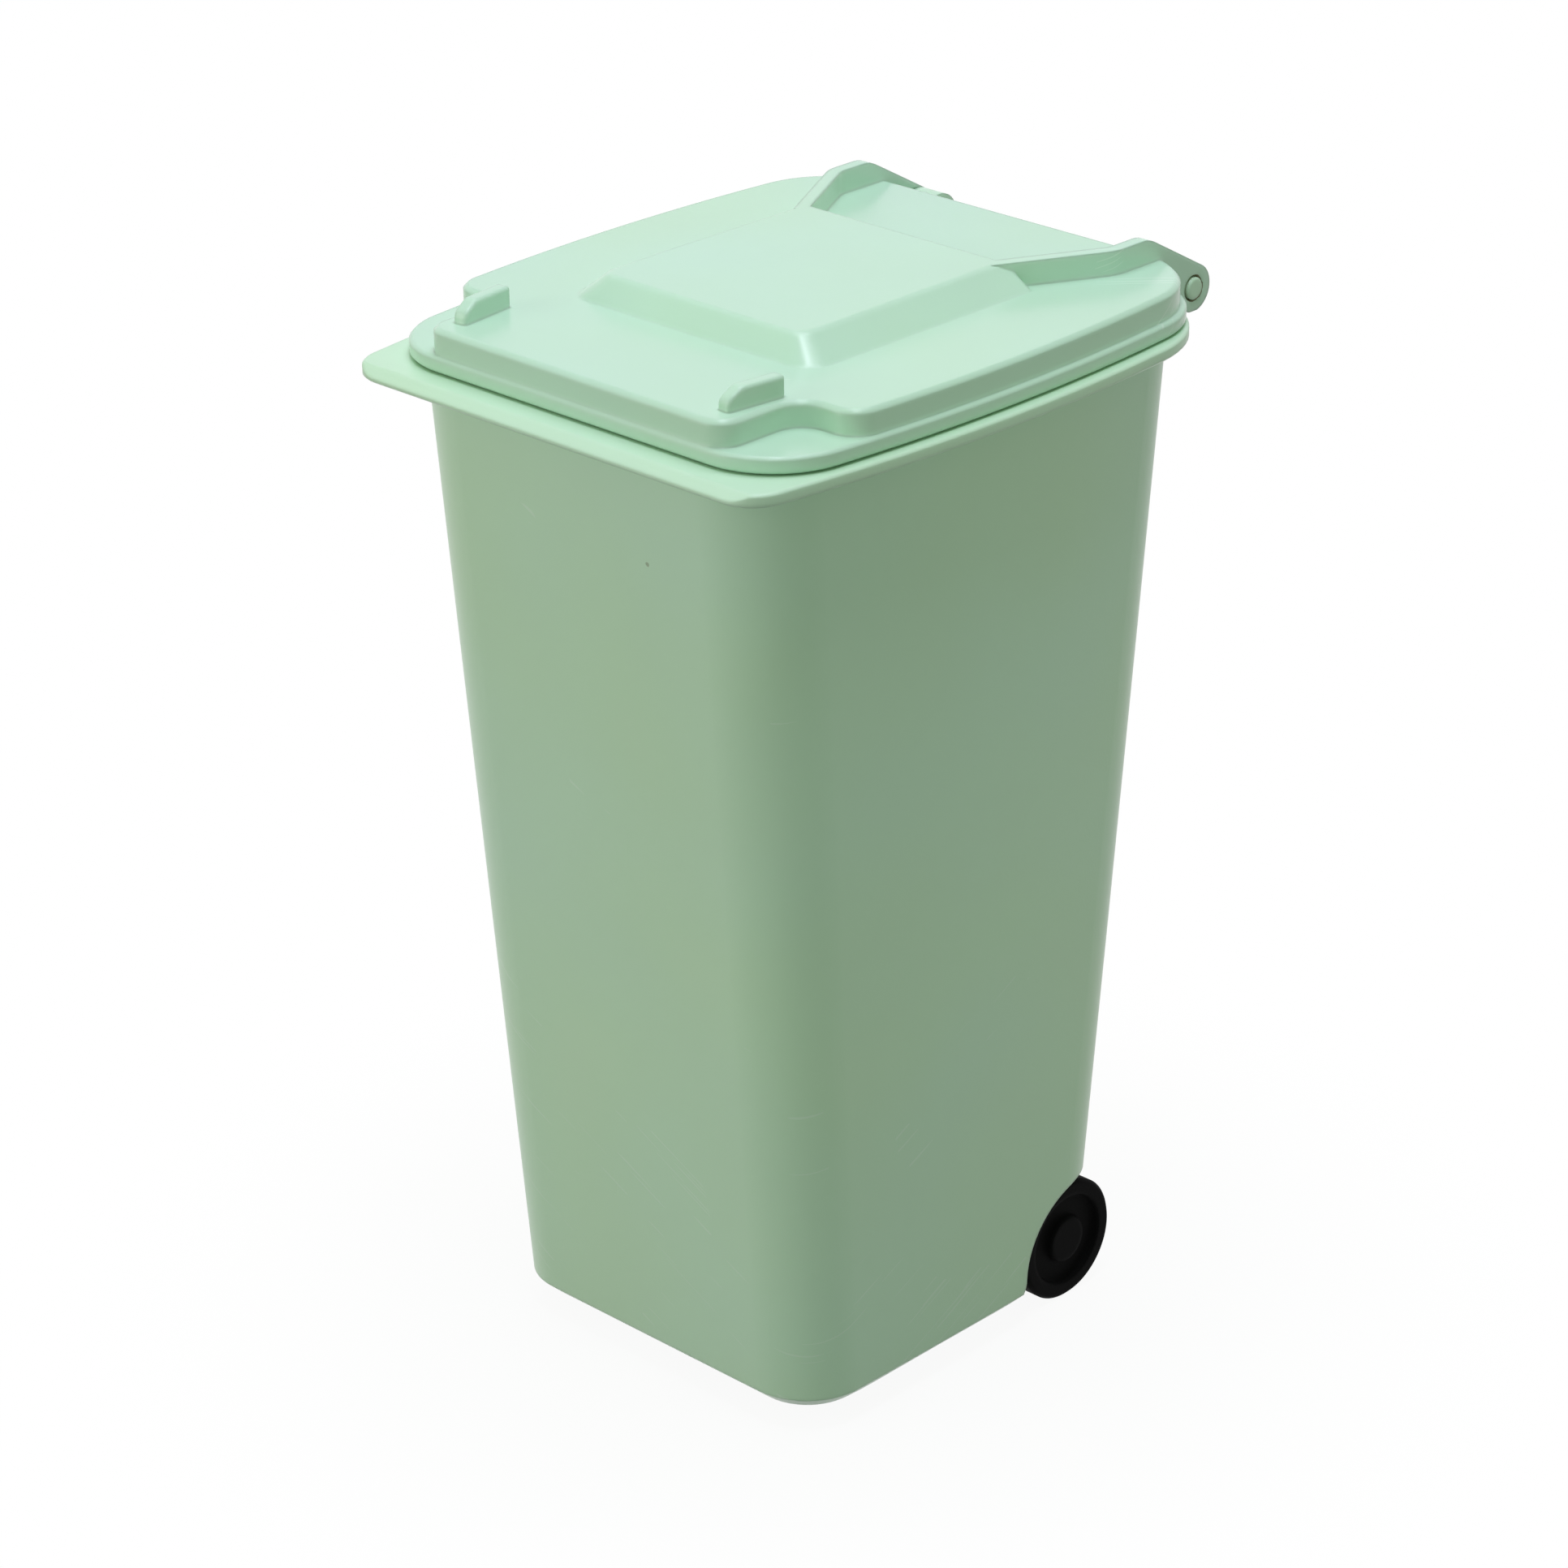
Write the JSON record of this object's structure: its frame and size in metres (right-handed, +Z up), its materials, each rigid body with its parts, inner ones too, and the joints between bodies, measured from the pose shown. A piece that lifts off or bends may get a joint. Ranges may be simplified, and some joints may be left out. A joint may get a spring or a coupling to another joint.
{
  "type": "desktop trash can",
  "caption": "Small desktop bin shaped like a wheeled bin: tapered plastic body with a flat rim, hinged lid on a rod, and two wheels on an axle under the back.",
  "frame": {"origin": "on the table, under the middle of the whole part from side to side and from the rim's front edge to the back of the hinge eyes", "axes": "+X to the bin's right, -Y out of its front, +Z up"},
  "size_m": [0.0832, 0.1026, 0.1587],
  "materials": {
    "mint_plastic": "satin moulded",
    "lid_plastic": "satin moulded",
    "rod_plastic": "satin moulded",
    "axle_steel": "drawn wire",
    "wheel_plastic": "moulded black"
  },
  "bodies": {
    "bin": {"bin_body": "mint_plastic", "hinge_rod": "rod_plastic"},
    "lid": {"lid": "lid_plastic"},
    "wheelset": {"wheel_axle": "axle_steel", "wheel_left": "wheel_plastic", "wheel_right": "wheel_plastic"}
  },
  "joints": [
    {"name": "lid_hinge", "type": "hinge", "parent": "bin", "child": "lid", "pos_m": [0, 0.04782, 0.149], "axis": [-1, 0, 0], "range_deg": [0, 260]},
    {"name": "wheel_spin", "type": "hinge", "parent": "bin", "child": "wheelset", "pos_m": [0, 0.02073, 0.0094], "axis": [1, 0, 0], "continuous": true}
  ]
}
